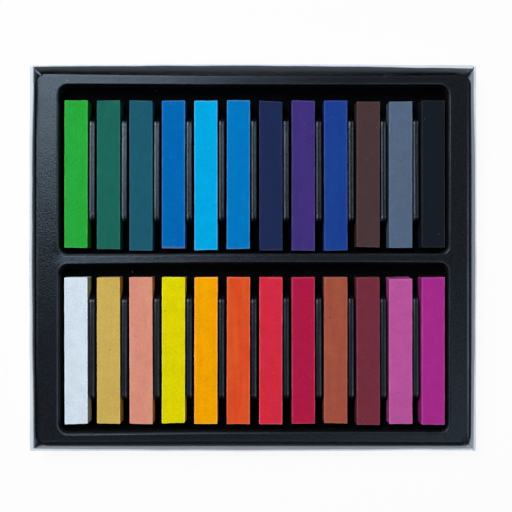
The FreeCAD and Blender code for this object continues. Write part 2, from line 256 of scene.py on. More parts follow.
def box_surface(xs, ys, zs):
    """The points and quads of a box's surface, divided at these coordinates."""
    shape = (len(xs), len(ys), len(zs))
    skin = np.zeros(shape, bool)
    skin[[0, -1]] = skin[:, [0, -1]] = skin[:, :, [0, -1]] = True
    index = np.full(shape, -1)
    index[skin] = np.arange(skin.sum())
    quads = []
    for axis in range(3):
        for side in (0, -1):
            layer = np.take(index, side, axis=axis)
            corners = [layer[:-1, :-1], layer[1:, :-1], layer[1:, 1:], layer[:-1, 1:]]
            cells = np.stack(corners, axis=-1).reshape(-1, 4)
            quads.append(cells[:, ::-1] if (side == 0) != (axis == 1) else cells)
    points = np.stack(np.meshgrid(xs, ys, zs, indexing="ij"), axis=-1)[skin]
    return points, np.concatenate(quads)


def make_piece(name, points, faces, material, point_values=None, face_values=None):
    """A smooth-shaded object from points in millimetres, with named values for its material."""
    mesh = bpy.data.meshes.new(name)
    places = (np.asarray(points, float) * MM).tolist()
    mesh.from_pydata(places, [], [[int(k) for k in face] for face in faces])
    for domain, named in (("POINT", point_values), ("FACE", face_values)):
        for label, values in (named or {}).items():
            attribute = mesh.attributes.new(label, "FLOAT", domain)
            attribute.data.foreach_set("value", np.asarray(values, np.float32))
    mesh.shade_smooth()
    mesh.materials.append(material)
    piece = bpy.data.objects.new(name, mesh)
    bpy.context.scene.collection.objects.link(piece)
    return piece


def stands_for(piece, node):
    """Rides on the node's body, which has the node's name, and takes the node's place."""
    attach(piece, node)
    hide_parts(node)


# ---------------------------------------------------------------- materials

COLOUR_A, COLOUR_B, COLOUR_OUT = 6, 7, 2  # a Mix node's colour sockets
NOISE_LOW, NOISE_HIGH = 0.3, 0.7  # between these lie nearly all of a noise's values
SPECK_EDGE = (0.22, 0.12)  # a speck's radius where it begins and where it is full, in cells


class Shading:
    """A material's node tree and its main shader."""

    def __init__(self, name):
        self.material = bpy.data.materials.new(name)
        self.material.use_nodes = True
        self.tree = self.material.node_tree
        self.shader = self.tree.nodes["Principled BSDF"]
        self.output = self.tree.nodes["Material Output"]
        self.place = self.add("ShaderNodeTexCoord").outputs["Object"]

    def add(self, kind, inputs=None, **settings):
        node = self.tree.nodes.new(kind)
        for label, value in settings.items():
            setattr(node, label, value)
        for label, value in (inputs or {}).items():
            self.put(node.inputs[label], value)
        return node

    def put(self, socket, value):
        """Links or sets a socket."""
        if isinstance(value, bpy.types.NodeSocket):
            self.tree.links.new(value, socket)
        else:
            socket.default_value = value

    def noise(self, size_mm, detail=2.0, stretch=(1, 1, 1), roughness=0.5):
        """Noise from 0 to 1 with patches of about that size."""
        place = self.place
        if stretch != (1, 1, 1):
            mapping = self.add("ShaderNodeMapping", {"Vector": place, "Scale": stretch})
            place = mapping.outputs["Vector"]
        inputs = {"Vector": place, "Scale": 1 / (size_mm * MM)}
        inputs |= {"Detail": detail, "Roughness": roughness}
        return self.add("ShaderNodeTexNoise", inputs).outputs["Fac"]

    def specks(self, size_mm, share):
        """1 in small round spots, one in a part of the cells of that size, and 0 elsewhere."""
        inputs = {"Vector": self.place, "Scale": 1 / (size_mm * MM)}
        cells = self.add("ShaderNodeTexVoronoi", inputs).outputs
        near = self.ranged(cells["Distance"], *SPECK_EDGE, 0, 1)
        chance = self.add("ShaderNodeSeparateColor", {"Color": cells["Color"]}).outputs["Red"]
        return self.maths("MULTIPLY", near, self.maths("LESS_THAN", chance, share))

    def value(self, label):
        """A named value of the mesh."""
        return self.add("ShaderNodeAttribute", attribute_name=label).outputs["Fac"]

    def maths(self, operation, first, second):
        node = self.add("ShaderNodeMath", operation=operation)
        self.put(node.inputs[0], first)
        self.put(node.inputs[1], second)
        return node.outputs[0]

    def ranged(self, value, low, high, to_low, to_high):
        inputs = {"Value": value, "From Min": low, "From Max": high}
        inputs |= {"To Min": to_low, "To Max": to_high}
        return self.add("ShaderNodeMapRange", inputs).outputs["Result"]

    def spread(self, noise, to_low, to_high):
        """A noise's usual range, mapped to another one."""
        return self.ranged(noise, NOISE_LOW, NOISE_HIGH, to_low, to_high)

    def shades(self, colour, **changes):
        """A colour with its Hue, Saturation or Value changed."""
        return self.add("ShaderNodeHueSaturation", {"Color": colour, **changes}).outputs["Color"]

    def mix(self, share, first, second):
        node = self.add("ShaderNodeMix", data_type="RGBA")
        self.put(node.inputs[0], share)
        self.put(node.inputs[COLOUR_A], first)
        self.put(node.inputs[COLOUR_B], second)
        return node.outputs[COLOUR_OUT]

    def bump(self, height, depth_mm, below=None):
        inputs = {"Height": height, "Distance": depth_mm * MM}
        if below is not None:
            inputs["Normal"] = below
        return self.add("ShaderNodeBump", inputs).outputs["Normal"]

    def finish(self, **inputs):
        for label, value in inputs.items():
            self.put(self.shader.inputs[label.replace("_", " ")], value)
        return self.material


def record_colour(slot):
    """A slot's base colour, as the record gives it."""
    materials = frame["record"]["materials"]
    colour = next(item["base_color"] for item in materials if item["slot"] == slot)
    return (*colour[:3], 1.0)


# Linear colours, with an opaque alpha.
WHITE = (1.0, 1.0, 1.0, 1.0)
BLACK = (0.0, 0.0, 0.0, 1.0)
CHALK = (0.9, 0.9, 0.9, 1.0)
# The painted shade in a stick's small pits.
PIT_SHADE = (0.02, 0.02, 0.02, 1.0)
PALE_DUST = (0.75, 0.75, 0.75, 1.0)
SMUDGE = (0.16, 0.13, 0.24, 1.0)
PLASTIC_DUST = (0.3, 0.28, 0.27, 1.0)
# The colour of the highlight painted along the insert's edges.
PLASTIC_HIGHLIGHT = (0.2, 0.25, 0.32, 1.0)
PLASTIC_SHEEN = (0.6, 0.79, 1.0, 1.0)
BOARD_CAST = (0.93, 0.97, 1.0, 1.0)
RAW_BOARD = ((0.42, 0.41, 0.4, 1.0), (0.7, 0.69, 0.67, 1.0))  # its darkest and palest fibres


def pigment(name):
    """Pressed pigment and chalk: matt and granular, with paler rubbed edges and painted shade in a
    few pits.
    """
    make = Shading("pigment_" + name)
    colour = record_colour("pigment_" + name)
    grain = make.noise(0.8, detail=4, roughness=0.75)
    mottle = make.noise(5.0, detail=3)
    streak = make.noise(2.6, detail=2, stretch=(1, 0.1, 1))
    light = make.maths("ADD", make.spread(grain, -0.11, 0.11), 1.0)
    light = make.maths("ADD", light, make.spread(mottle, -0.05, 0.05))
    light = make.maths("ADD", light, make.spread(streak, -0.02, 0.02))
    body = make.shades(colour, Hue=make.spread(streak, 0.496, 0.504), Value=light)

    chalkiness = 0.03 + 0.05 * max(colour[:3])
    pale_edge = make.mix(chalkiness, make.shades(body, Value=1.45, Saturation=0.9), CHALK)
    body = make.mix(make.value("wear"), body, pale_edge)
    # Painted shade: small pits are darkened towards near black.
    shaded_pits = make.specks(1.6, 0.03)
    body = make.mix(make.maths("MULTIPLY", shaded_pits, 0.4), body, PIT_SHADE)
    dust = make.specks(1.5, 0.02)
    body = make.mix(make.maths("MULTIPLY", dust, 0.08), body, PALE_DUST)
    body = make.mix(make.value("smudge"), body, SMUDGE)

    normal = make.bump(make.noise(1.4, detail=3), 0.06)
    normal = make.bump(make.maths("SUBTRACT", grain, shaded_pits), 0.07, normal)
    roughness = make.spread(mottle, 0.82, 0.95)
    return make.finish(Base_Color=body, Roughness=roughness, Specular_IOR_Level=0.04, Normal=normal)


def formed_plastic():
    """Black polystyrene: a fine leathery grain, a little dust, painted edge highlights and a soft
    gloss.

    Deep in the compartments, where the sheet was drawn thin and dust has settled, it has no gloss,
    and a painted shade darkens its colour there.
    """
    make = Shading("formed_plastic")
    haze = make.noise(14.0, detail=3)
    grain = make.noise(0.8, detail=2, roughness=0.7)
    dull_and_shaded = make.value("dull_and_shaded")
    dust = make.maths("MULTIPLY", make.specks(1.8, 0.01), 0.3)
    body = make.shades(record_colour("insert_sheet"), Value=make.spread(grain, 0.3, 1.7))
    # Painted shade: deep in the compartments the colour is darkened further towards black.
    body = make.mix(make.ranged(dull_and_shaded, 0, 1, 0.35, 0.75), body, BLACK)
    body = make.mix(dust, body, PLASTIC_DUST)
    # A painted highlight: pale lines along the deck's sides, the lips and the ridges' crest edges.
    pale_edge = make.maths("MULTIPLY", make.value("pale_edge"), make.spread(grain, 0.7, 1.3))
    body = make.mix(pale_edge, body, PLASTIC_HIGHLIGHT)

    gloss = make.maths("ADD", make.spread(haze, 0.19, 0.22), make.spread(grain, -0.02, 0.02))
    shine = make.ranged(grain, 0.32, 0.68, 0.65, 1.0)
    shine = make.maths("MULTIPLY", shine, make.ranged(dull_and_shaded, 0, 1, 1.0, 0.25))
    return make.finish(
        Base_Color=body,
        Roughness=make.maths("MAXIMUM", gloss, dull_and_shaded),
        Specular_IOR_Level=0.15,
        Specular_Tint=make.shades(PLASTIC_SHEEN, Value=shine),
        Normal=make.bump(grain, 0.055, make.bump(make.noise(1.6, detail=1), 0.02)),
    )


def paperboard():
    """White-lined board: a smooth coated face with faint fibres, and greyer, rougher raw edges."""
    make = Shading("paperboard")
    colour = [part * cast for part, cast in zip(record_colour("carton_board"), BOARD_CAST)]
    fibres = make.noise(0.5, detail=4, stretch=(1, 0.35, 1), roughness=0.7)
    cloud = make.noise(9.0, detail=3)
    light = make.maths("ADD", make.spread(fibres, -0.04, 0.04), 1.0)
    light = make.maths("ADD", light, make.spread(cloud, -0.05, 0.05))
    raw = make.value("raw")
    fuzz = make.mix(make.noise(0.3, detail=3), *RAW_BOARD)
    body = make.mix(raw, make.shades(colour, Value=light), fuzz)
    roughness = make.ranged(raw, 0, 1, 0.5, 0.9)
    normal = make.bump(fibres, 0.02, make.bump(cloud, 0.08))
    return make.finish(Base_Color=body, Roughness=roughness, Specular_IOR_Level=0.4, Normal=normal)


# ---------------------------------------------------------------- the pastel sticks

EDGE_STEPS = (0, 0.09, 0.2, 0.33, 0.5, 0.75, 1.15)  # where a stick's faces are divided near an edge
STICK_CELL = 0.8
EDGE_RADIUS = 0.24
EDGE_CHANGE = 0.5  # how much that radius changes along the edges, as a share of it
EDGE_RANGE = (0.4, 2)  # the least and most of it, as shares
WEAR_WIDTH = 0.36
WEAR_LEVEL, WEAR_CHANGE, LEAST_WEAR = 0.62, 0.3, 0.15  # how worn an edge is, and how that changes
CHIP_WEAR, MOST_CHIP_WEAR = 2.5, 0.8  # how fast a chip's paleness grows with its depth, and its end
HOLLOW, GRIT, DEEPEST = 0.035, 0.01, 0.15  # how far a face dips, broadly, finely and at the most
CHIPS = (3, 7)  # the fewest chips of a stick, and one more than the most
BITE = (0.4, 0.8)  # the smallest and largest radius of a chip
BITE_PLACE = 0.62  # how far outside the edge a chip's middle is, in radii
BITE_CHANGE = 0.12  # how rough a chip is, as a share of its radius
BAR_SHARE = 0.7  # of the chips, along the four long edges
END_REACH = 4.0  # how far from an end its uneven cut is felt
END_ROUGH = 0.06
SKEW = 0.12  # the most that an end's cut is out of square at its sides
LEAN = 0.12  # the most that an end's top edge leans back, unless ENDS says otherwise
TURN = 0.14  # the most that a stick is turned from straight, in degrees

# How the ends of some sticks differ from a square cut, in millimetres. far and near are the ends
# towards +Y and -Y: how far the end falls short, how far its top edge leans back from its foot, and
# how far its two sides are out of square.
ENDS = {
    "umber": {"far": 0.6, "near_lean": 0.05},
    "grey": {"far": 0.4, "near_lean": 0.0, "near_skew": 0.05},
    "pink": {"far_lean": 0.8},
    "white": {"near_lean": 0.0, "near_skew": 0.2},
    "yellow": {"near_skew": 0.2},
    "navy": {"far_skew": 0.3},
}
SMUDGED = {"blue": 0.55}  # sticks whose near end has picked up another colour
SMUDGE_EDGE = (1.1, 0.4)  # how far from the end a smudge begins, and where it is full


def spaced(length):
    """Where a stick's face is divided along one of its sides: finer near both edges."""
    first = EDGE_STEPS[-1]
    middle = np.linspace(first, length - first, round((length - 2 * first) / STICK_CELL) + 1)
    last = length - np.array(EDGE_STEPS[-2::-1])
    return np.concatenate([EDGE_STEPS[:-1], middle, last]) - length / 2


def chip(points, half, draw):
    """Knocks a small hollow out of one edge. Returns the points and how far each of them moved."""
    axis = draw.choice(3, p=((1 - BAR_SHARE) / 2, BAR_SHARE, (1 - BAR_SHARE) / 2))
    outward = draw.choice([-1.0, 1.0], 3)
    spot = outward * half
    spot[axis] *= draw.uniform(0, 1)
    outward[axis] = 0
    bite = draw.uniform(*BITE)
    centre = spot + outward / math.sqrt(2) * bite * BITE_PLACE
    away = points - centre
    distance = np.linalg.norm(away, axis=1)
    rough = bite * (1 + BITE_CHANGE * waves(points, 0.7, draw.integers(1 << 30)))
    moved = np.clip(rough - distance, 0, None)
    return points + away * (moved / np.maximum(distance, 0.05))[:, None], moved


def make_pastel(name, seed):
    """One stick, a little crooked, with rubbed and chipped edges and uneven faces and ends."""
    low, high = box_mm("stick_" + name)
    middle, half = (low + high) / 2, (high - low) / 2
    points, quads = box_surface(*[spaced(side) for side in high - low])
    draw = np.random.default_rng(seed)

    gaps = np.sort(half - np.abs(points), axis=1)
    edge = nearness(gaps[:, 1], 0, WEAR_WIDTH)
    wear = edge * np.clip(WEAR_LEVEL + WEAR_CHANGE * waves(points, 6, seed), LEAST_WEAR, 1)

    change = np.clip(1 + EDGE_CHANGE * waves(points, 8, seed + 1), *EDGE_RANGE)
    radius = (EDGE_RADIUS * change)[:, None]
    core = np.clip(points, radius - half, half - radius)
    out = points - core
    out /= np.linalg.norm(out, axis=1, keepdims=True)
    shaped = core + out * radius
    dip = HOLLOW * (1 + waves(points, 15, seed + 2)) + GRIT * (1 + waves(points, 1.7, seed + 3))
    shaped -= out * np.clip(dip, 0, DEEPEST)[:, None]
    for _ in range(draw.integers(*CHIPS)):
        shaped, moved = chip(shaped, half, draw)
        wear = np.maximum(wear, np.clip(moved * CHIP_WEAR, 0, MOST_CHIP_WEAR))

    ends = ENDS.get(name, {})
    across, up = shaped[:, 0] / half[0], (shaped[:, 2] / half[2] + 1) / 2
    for end, sign in (("far", 1), ("near", -1)):
        skew = ends.get(end + "_skew", draw.uniform(-SKEW, SKEW))
        short = ends.get(end, 0) + ends.get(end + "_lean", draw.uniform(0, LEAN)) * up
        short = short + skew * across + abs(skew) + END_ROUGH * (1 + waves(shaped, 4, seed + 4))
        share = ease(sign * shaped[:, 1], half[1] - END_REACH, half[1])
        shaped[:, 1] -= sign * short * share
    shaped[:, 0] += shaped[:, 1] * math.tan(math.radians(draw.uniform(-TURN, TURN))) + STICK_SHIFT

    smudge = SMUDGED.get(name, 0) * ease(-points[:, 1], *(half[1] - gap for gap in SMUDGE_EDGE))
    values = {"wear": wear, "smudge": smudge}
    piece = make_piece("pastel_" + name, shaped + middle, quads, pigment(name), values)
    stands_for(piece, "stick_" + name)


# ---------------------------------------------------------------- the formed insert

RIDGE_STEPS = {"corner_steps": 6, "side_steps": (1, 11)}
RIDGE_CORNER = 0.72  # its corner's radius, as a share of half of its width
# For a ridge's flanks and its ends: the roundings at its foot and crest, how far its foot runs out
# on the floor, and how far inside the crest's edge its groove starts.
FLANK_SHAPE = (0.4, 0.22, 0.55, 0.7)
END_SHAPE = (3.2, 1.6, 2.4, 1.9)
CREST_STRAY = 0.07  # the most that a crest stands to one side of its foot's middle
STRAY_ALONG = 3  # how many times more it may stray along the ridge
GROOVES = (0.005, 0.05)  # the least and most depth of the fine groove along a ridge's crest
GROOVE_SIDE = 0.28
CREST_FALL = 0.02  # how steeply the ridges' crests fall towards the far end
CREST_STEP = 0.03  # how far inside a crest's rounding its flat part is divided
FLOOR_CELL, DECK_CELL = 5.0, 1.6  # how finely the level floors and the deck are divided
CUP_MARGIN = 0.4  # how far a compartment's section runs on past its roundings
# Below these heights the sheet's colour also carries a painted shade.
GLOSS_STARTS = (7.8, 8.8)  # between these heights the dull depths turn into the glossy top

SHOULDER_MARGIN = 0.06
SHOULDER_LEADS = (1.3, 1.0, 0.75, 0.5, 0.3, 0.14)  # how far inside a shoulder the deck is divided
RISE_START = 0.75  # how far inside its shoulder a side starts to turn up
FAR_BOW, NEAR_BOW = 0.95, 0.4  # how far the deck's far and near edges bow in at the middle
FAR_BOW_MIDDLE, FAR_BOW_HALF = 15.0, 110.0  # the far edge's bow along X
SETTLED = ((0.045, 46, 11), (0.012, 15, 12))  # depth, length and seed of the deck's slight waves
BAR_TILT = 0.25  # how much lower the bar between the compartments is along its far lip
BAR_FADE, BAR_END_FADE = (1.2, 4), (-2, 3)  # where that ends, past the lips and the bar's ends
FLANGE_FALL = 0.09  # how much lower the flanges at the left and right are along their outer edges
# How far the compartments' near and far lips wander towards +Y, as knots along X, and the share of
# it that each lip takes, as knots along Y.
LIP_BOW = ((-85, -0.5), (-50, 0.0), (-22, 0.3), (30, 0.35), (60, 0.35), (85, 0.15))
LIP_SHARES = (
    (-80, 0), (-76.5, 1), (-74.5, 1), (-71, 0), (-7, 0), (-3.5, 1), (-1.8, 1), (2.5, 0.4),
    (3.5, 0.4), (7, 0), (71, 0), (74.5, -0.4), (76.5, -0.4), (80, 0),
)

# How strongly a highlight is painted on the deck's right, far, left and near sides, as knots along
# X or Y.
DECK_HIGHLIGHTS = (
    ((-80, 0.1), (-62, 0.28), (-45, 0.42), (-20, 0.25), (10, 0.2), (40, 0.1), (80, 0.0)),
    ((-93, 0.13), (-40, 0.13), (20, 0.05), (93, 0.0)),
    ((-80, 0.03), (-20, 0.13), (80, 0.18)),
    ((-93, 0.03), (93, 0.03)),
)
# The same for the compartments' lips, as knots along X.
LIP_HIGHLIGHTS = ((-86, 0.18), (-40, 0.12), (10, 0.05), (86, 0.08))
HIGHLIGHT_INSET, HIGHLIGHT_WIDTH = 0.3, 0.35  # how far inside a shoulder or outside a lip it is, and how wide
# How strongly a highlight is painted on the left and right edges of the ridges' crests, as knots
# along Y.
CREST_HIGHLIGHTS = (
    ((-66, 0.05), (-36, 0.1), (-20, 0.35), (-10, 0.7), (14, 0.7), (66, 0.85)),
    ((-66, 0.3), (-34, 0.3), (-20, 0.15), (14, 0.15), (66, 0.25)),
)
CREST_HIGHLIGHT_PLACE, CREST_HIGHLIGHT_WIDTH = 0.68, 0.22  # how far from a crest's middle it is, and how wide
CREST_HIGHLIGHT_STARTS = (9.2, 9.6)  # between these heights it comes in
HIGHLIGHT_CHANGE, MOST_HIGHLIGHT = 0.35, 1.5  # how much all of it changes from place to place, and the most


def ridge_profile(foot, crest, foot_round, crest_round, run_out, run_in, groove):
    """Half of a ridge's section from the floor up, as distances from its middle and heights."""
    top = RIDGE_HEIGHT
    corners = [(foot + run_out, 0), (foot, 0), (crest, top), (0, top)]
    steps = 3
    side = rounded_profile(corners, (foot_round, crest_round), arc_steps=8, straight_steps=steps)
    side = side[:-steps]
    flat = [(side[-1, 0] - CREST_STEP, top), (crest - run_in, top)]
    inward = np.linspace(0, GROOVE_SIDE, 6)[1:]
    dish = np.stack([crest - run_in - inward, top - groove * ease(inward, 0, GROOVE_SIDE)], axis=1)
    return np.concatenate([side, flat, dish])


def add_ridge(sheet, x, y, draw):
    """One ridge, with steep flanks and sloping ends. Returns its ring on the floor."""
    groove = draw.uniform(*GROOVES)
    flank = ridge_profile(*RIDGE_FLANK, *FLANK_SHAPE, groove)
    end = ridge_profile(*RIDGE_END, *END_SHAPE, groove)
    crest_shift = draw.uniform(-CREST_STRAY, CREST_STRAY, 2)
    rings = []
    for (half_x, side_height), (half_y, end_height) in zip(flank, end):
        spots, facing = rounded_ring((half_x, half_y), RIDGE_CORNER * half_x, **RIDGE_STEPS)
        heights = side_height + (end_height - side_height) * facing[:, 1] ** 2
        lift = (heights / RIDGE_HEIGHT)[:, None]
        heights = heights * (1 - CREST_FALL * (spots[:, 1] + half_y) / RIDGE_HEIGHT)
        spots = spots + (x, y) + lift * crest_shift * (1, STRAY_ALONG)
        rings.append(sheet.ring(spots, FLOOR_TOP + heights))
    for outer, inner in zip(rings, rings[1:]):
        sheet.join(outer, inner)
    sheet.close_across(rings[-1], RIDGE_STEPS["corner_steps"])
    return rings[0]


def cup_profile(lip_round, floor_round):
    """A compartment's section from the deck down, as distances out of its lip line and heights."""
    depth = INSERT_TOP - FLOOR_TOP
    lean = depth * math.tan(CUP_DRAFT)
    outer, inner = lip_round + CUP_MARGIN, -lean - floor_round - CUP_MARGIN
    corners = [(outer, 0), (0, 0), (-lean, -depth), (inner, -depth)]
    return rounded_profile(corners, (lip_round, floor_round), arc_steps=8, straight_steps=3)


def four_sided_ring(sheet, middle, half, radius, section):
    """A ring of a rounded rectangle whose four sides are moved out and raised by their own amounts.

    section holds those as (out, up) for the right, far, left and near sides.
    """
    (right, far, left, near), ups = np.array(section).T
    grown = half + np.array([right + left, far + near]) / 2
    spots, facing = rounded_ring(grown, radius + (right + far + left + near) / 4)
    shares = np.stack([facing[:, 0], facing[:, 1], -facing[:, 0], -facing[:, 1]]).clip(0) ** 2
    spots = spots + middle + np.array([right - left, far - near]) / 2
    return sheet.ring(spots, INSERT_TOP + ups @ shares)


def add_cup(sheet, y, draw):
    """One compartment, from the level ring round its lip to its floor. Returns that ring."""
    sections = zip(*[cup_profile(*rounds) for rounds in zip(LIP_ROUNDS, FLOOR_ROUNDS)])
    middle = (CUP_MIDDLE, y)
    rings = [four_sided_ring(sheet, middle, CUP_HALF, CUP_RADIUS, section) for section in sections]
    for outer, inner in zip(rings, rings[1:]):
        sheet.join(outer, inner)
    places = [(k - RIDGES // 2) * STICK_PITCH + RIDGE_SHIFT for k in range(RIDGES)]
    feet = [add_ridge(sheet, x, y - CUP_SHIFT, draw) for x in places]
    sheet.level(rings[-1], feet, FLOOR_TOP, FLOOR_CELL)
    return rings[0]


def uneven(points):
    """Lets the formed sheet settle: its edges and lips bow a little, and nothing is quite flat."""
    x, y = points[:, 0], points[:, 1]
    lift = np.clip((points[:, 2] - FLOOR_TOP) / (INSERT_TOP - FLOOR_TOP), 0, 1)
    deck_x, deck_y = DECK_SIDES[0][0], DECK_SIDES[1][0]
    far_bow = -FAR_BOW * (1 - ((x - FAR_BOW_MIDDLE) / FAR_BOW_HALF) ** 2)
    near_bow = NEAR_BOW * (1 - (x / deck_x) ** 2)
    lip_y = CUP_PITCH / 2 + CUP_HALF[1]
    moved = np.where(y > 0, far_bow, near_bow) * ease(np.abs(y), lip_y, deck_y)
    moved += smooth_line(x, LIP_BOW) * np.interp(y, *zip(*LIP_SHARES)) * lift
    flat = points * (1, 1, 0)
    settled = sum(depth * (waves(flat, length, seed) - 1) for depth, length, seed in SETTLED)

    bar = CUP_PITCH / 2 - CUP_HALF[1]
    on_bar = 1 - ease(np.abs(y), bar + BAR_FADE[0], bar + BAR_FADE[1])
    on_bar *= 1 - ease(np.abs(x), CUP_HALF[0] + BAR_END_FADE[0], CUP_HALF[0] + BAR_END_FADE[1])
    settled -= BAR_TILT * on_bar * (1 + np.clip(y / bar, -1, 1)) / 2
    across = np.clip((np.abs(x) - CUP_HALF[0]) / (deck_x - CUP_HALF[0]), 0, 1)
    settled -= FLANGE_FALL * ((2 * across - 1) ** 3 + 1) / 2
    turned_up = np.clip(points[:, 2] - INSERT_TOP, 0, None)
    points[:, 1] += moved
    points[:, 2] += lift * settled - turned_up * UPTURN * y / deck_y
    return points


def painted_edge_highlights(points):
    """How strongly a highlight is painted along the deck's sides, the lips and the ridges' crests.
    """
    outward = np.stack([points[:, 0], points[:, 1], -points[:, 0], -points[:, 1]])
    along = np.stack([points[:, 1], points[:, 0]] * 2)
    pale_edge = np.zeros(len(points))
    for out, at, (place, shoulder, _), knots in zip(outward, along, DECK_SIDES, DECK_HIGHLIGHTS):
        side = nearness(out, place - shoulder - HIGHLIGHT_INSET, HIGHLIGHT_WIDTH) * smooth_line(at, knots)
        pale_edge = np.maximum(pale_edge, side)
    for half in (1, -1):
        away = np.abs(points[:, :2] - (CUP_MIDDLE, half * CUP_PITCH / 2 + CUP_SHIFT))
        past = away - CUP_HALF + CUP_RADIUS
        gap = np.linalg.norm(past.clip(0), axis=1) + past.max(axis=1).clip(None, 0) - CUP_RADIUS
        lip = nearness(gap, HIGHLIGHT_INSET, HIGHLIGHT_WIDTH) * smooth_line(points[:, 0], LIP_HIGHLIGHTS)
        pale_edge = np.maximum(pale_edge, lip)
    from_ridge = (points[:, 0] - RIDGE_SHIFT + STICK_PITCH / 2) % STICK_PITCH - STICK_PITCH / 2
    crest = nearness(np.abs(from_ridge), CREST_HIGHLIGHT_PLACE, CREST_HIGHLIGHT_WIDTH)
    crest *= ease(points[:, 2], *CREST_HIGHLIGHT_STARTS)
    crest *= np.abs(points[:, 0]) < STICK_PITCH * RIDGES / 2
    crest *= np.abs(np.abs(points[:, 1]) - CUP_PITCH / 2) < RIDGE_END[0]
    crest *= np.where(from_ridge < 0, *[smooth_line(points[:, 1], knots) for knots in CREST_HIGHLIGHTS])
    grain = np.clip(1 + HIGHLIGHT_CHANGE * waves(points, 6, 14), 0, MOST_HIGHLIGHT)
    return np.maximum(pale_edge, crest) * grain


def make_insert():
    """The formed sheet: a deck with turned-down sides, and two compartments with ridged floors."""
    sheet = Sheet()
    draw = np.random.default_rng(5)
    drop = INSERT_TOP - INSERT_FOOT
    profiles = []
    for _, shoulder, rise in DECK_SIDES:
        corners = [(-shoulder - SHOULDER_MARGIN, 0), (0, 0), (drop * math.tan(SKIRT_FLARE), -drop)]
        bend = rounded_profile(corners, (shoulder,), arc_steps=9, straight_steps=2)
        lead = np.array([(-shoulder - inset, 0) for inset in SHOULDER_LEADS])
        profile = np.concatenate([lead, bend])
        profile[:, 1] += rise * ease(profile[:, 0], -shoulder - RISE_START, -shoulder)
        profiles.append(profile)
    places = [place for place, _, _ in DECK_SIDES]
    half = np.array([places[0] + places[2], places[1] + places[3]]) / 2
    middle = np.array([places[0] - places[2], places[1] - places[3]]) / 2
    sections = zip(*profiles)
    rings = [four_sided_ring(sheet, middle, half, DECK_RADIUS, section) for section in sections]
    for inner, outer in zip(rings, rings[1:]):
        sheet.join(outer, inner)
    lips = [add_cup(sheet, side * CUP_PITCH / 2 + CUP_SHIFT, draw) for side in (1, -1)]
    sheet.level(rings[0], lips, INSERT_TOP, DECK_CELL)

    points = np.array(sheet.points)
    # Deep in the compartments the sheet loses its gloss and is darkened with painted shade.
    dull_and_shaded = 1 - ease(points[:, 2], *GLOSS_STARTS)
    # Along the deck's sides, the lips and the crests' edges, a pale highlight is painted on the
    # sheet.
    values = {"dull_and_shaded": dull_and_shaded, "pale_edge": painted_edge_highlights(points)}
    piece = make_piece("insert_shell", uneven(points), sheet.faces, formed_plastic(), values)
    thick = piece.modifiers.new("sheet", "SOLIDIFY")
    thick.thickness = SHEET * MM
    thick.offset = -1
    stands_for(piece, "insert")


# ---------------------------------------------------------------- the folded tray

# Each wall's shape in millimetres: the fold's width at the rim, how far inside its outer face its
# inner ply stands at the deck's height, how far its rim leans in or out at places along it, and how
# much thicker the fold is there, as round a flap.
WALLS = {
    "back": (
        0.56, 0.6,
        ((-93, -0.45), (-60, -0.85), (-15, -1.0), (40, -0.8), (93, -0.4)),
        ((-93, 0.15), (0, 0.1), (35, 0.3), (65, 0.45), (93, 1.0)),
    ),
    "front": (
        0.56, 0.6,
        ((-93, 0.15), (-55, -0.05), (0, -0.25), (50, 0.1), (93, 0.3)),
        ((-93, 0.25), (-75, 0.0), (75, 0.0), (93, 0.25)),
    ),
    "left": (
        1.5, 0.85,
        ((-80, -0.1), (-20, -0.4), (40, -0.35), (80, 0.0)),
        ((-80, 0.5), (-62, 0.3), (-45, 0.0), (50, -0.05), (62, 0.1), (80, 0.45)),
    ),
    "right": (
        0.54, 0.58,
        ((-80, 0.2), (-20, -0.2), (40, -0.2), (80, 0.1)),
        ((-80, 0.45), (-62, 0.3), (-45, 0.0), (45, 0.0), (62, 0.3), (80, 0.45)),
    ),
}
PLY = 0.26  # the board's thickness where it is pressed together in a wall
WALL_STATIONS = 72
WALL_MARGIN = 0.02  # how far a wall's foot runs on past its bend
PLY_REACH = 0.1  # how much further in the inner ply stands at its foot than at the deck's height
RIM_ROUND = 0.45  # the rim's roundings, as a share of its width
PLY_BEND = 6.0  # the radius by which the inner ply bends at the deck's height
HINGE = (0.48, 0.52)  # between these shares of the rim's width the inner ply starts
BOW_RISE = 1.4  # how a wall's lean grows from its foot to its rim, as a power of its height
RIPPLES = ((0.05, 9, 31), (0.1, 34, 32))  # the depth, length and seed of the waves along a wall
RIPPLE_LEVEL = 0.08
RIM_END_FALL, RIM_END_WIDTH = 0.3, 0.7  # how far a rim falls at its ends, and how fast
RIM_DIP, DIP_LENGTH, DIP_SEED = 0.06, 21, 33  # how far it dips here and there along the wall

FLAP_LENGTH, FLAP_GAP = 24.0, 0.05
WEB_ENDS = ((-94.9, 82.0), (-92.4, 79.95))  # where the sprung board's outer and inner ends are
WEB_FOOT, WEB_HEAD = 0.15, 0.9  # how far it starts over the deck, and ends under the rim
WEB_FALLS = (0, 1.4, 3.0, 1.9)  # how much lower its head is at each of its corners


